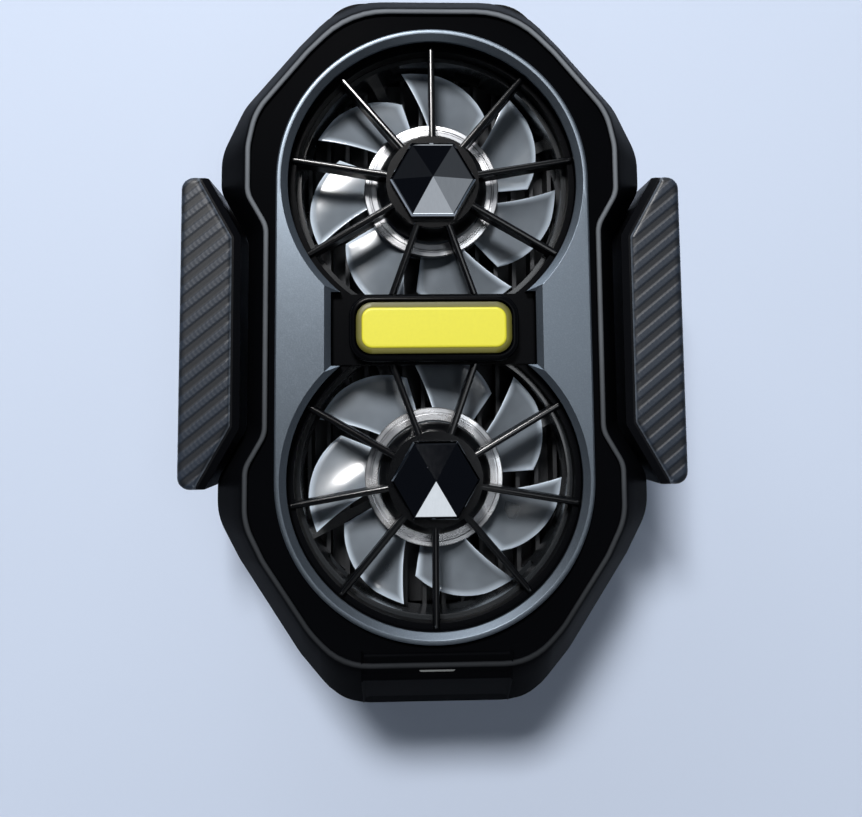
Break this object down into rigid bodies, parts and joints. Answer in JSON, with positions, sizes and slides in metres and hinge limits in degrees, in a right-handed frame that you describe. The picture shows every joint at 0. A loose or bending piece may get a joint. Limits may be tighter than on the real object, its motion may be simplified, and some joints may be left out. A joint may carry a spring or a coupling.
{
  "type": "clip-on phone cooler",
  "caption": "Twin-fan clip-on cooler for phones: cold plate, finned heat sink, two axial fans behind a spoked grille, and sprung clamp arms.",
  "frame": {"origin": "centre of the cold face, which rests on the back of the phone", "axes": "+Z out of the front towards the fans, +Y along the body towards the upper fan, +X to the right seen from the front, along the slide of the right clamp arm"},
  "size_m": [0.073, 0.1048, 0.0392],
  "materials": {
    "black_shell": "glossy navy-black moulding",
    "black_cover": "satin black moulding with fine spark texture",
    "grey_fascia": "satin grey with a fine grain",
    "black_grille": "glossy black moulding",
    "gloss_black_cap": "polished black facets",
    "gloss_black_bezel": "polished black",
    "yellow_badge": "plain pale yellow, smooth",
    "cold_plate_metal": "brushed",
    "ceramic": "white ceramic",
    "foam": "closed-cell foam",
    "heat_sink_metal": "extruded aluminium",
    "circuit_board": "solder mask",
    "clear_light_guide": "milky clear",
    "socket_metal": "drawn steel",
    "screw_steel": "black zinc",
    "spring_steel": "spring wire",
    "smoke_frame": "smoke-grey moulding",
    "smoke_rotor": "smoke-clear moulding",
    "silver_ring": "bright turned ring",
    "magnet": "bonded ferrite",
    "shaft_steel": "ground steel",
    "bearing_brass": "sintered bronze",
    "stator_iron": "laminations with copper windings",
    "black_arm": "satin black moulding",
    "carbon_skin": "dark grey carbon twill film",
    "rubber_pad": "soft black rubber"
  },
  "bodies": {
    "housing": {"badge_bezel": "gloss_black_bezel", "badge_plate": "yellow_badge", "clamp_springs": "spring_steel", "cold_plate": "cold_plate_metal", "control_board": "circuit_board", "cover_posts": "black_cover", "cover_screws": "screw_steel", "fascia_plate": "grey_fascia", "front_shell": "black_shell", "grille": "black_grille", "heat_sink": "heat_sink_metal", "indicator_light_guide": "clear_light_guide", "inner_screws": "screw_steel", "insulating_frame": "foam", "leg_guides": "black_cover", "lower_bearing": "bearing_brass", "lower_fan_frame": "smoke_frame", "lower_hub_cap": "gloss_black_cap", "lower_motor_stator": "stator_iron", "rear_cover": "black_cover", "thermoelectric_module": "ceramic", "upper_bearing": "bearing_brass", "upper_fan_frame": "smoke_frame", "upper_hub_cap": "gloss_black_cap", "upper_motor_stator": "stator_iron", "usb_socket": "socket_metal"},
    "upper_fan": {"upper_hub_ring": "silver_ring", "upper_magnet_ring": "magnet", "upper_rotor": "smoke_rotor", "upper_rotor_shaft": "shaft_steel"},
    "lower_fan": {"lower_hub_ring": "silver_ring", "lower_magnet_ring": "magnet", "lower_rotor": "smoke_rotor", "lower_rotor_shaft": "shaft_steel"},
    "left_arm": {"left_carbon_skin": "carbon_skin", "left_clamp_arm": "black_arm", "left_jaw_pad": "rubber_pad"},
    "right_arm": {"right_carbon_skin": "carbon_skin", "right_clamp_arm": "black_arm", "right_jaw_pad": "rubber_pad"}
  },
  "joints": [
    {"name": "upper_fan_spin", "type": "hinge", "parent": "housing", "child": "upper_fan", "pos_m": [0, 0.02125, 0.0131], "axis": [0, 0, 1], "continuous": true},
    {"name": "lower_fan_spin", "type": "hinge", "parent": "housing", "child": "lower_fan", "pos_m": [0, -0.02125, 0.0131], "axis": [0, 0, 1], "continuous": true},
    {"name": "left_arm_slide", "type": "slide", "parent": "housing", "child": "left_arm", "axis": [-1, 0, 0], "range_m": [0, 0.011], "stiffness_N_per_m": 250, "springref_m": -0.006, "deforming": ["clamp_springs"]},
    {"name": "right_arm_slide", "type": "slide", "parent": "housing", "child": "right_arm", "axis": [1, 0, 0], "range_m": [0, 0.011], "stiffness_N_per_m": 250, "springref_m": -0.006, "deforming": ["clamp_springs"]}
  ]
}
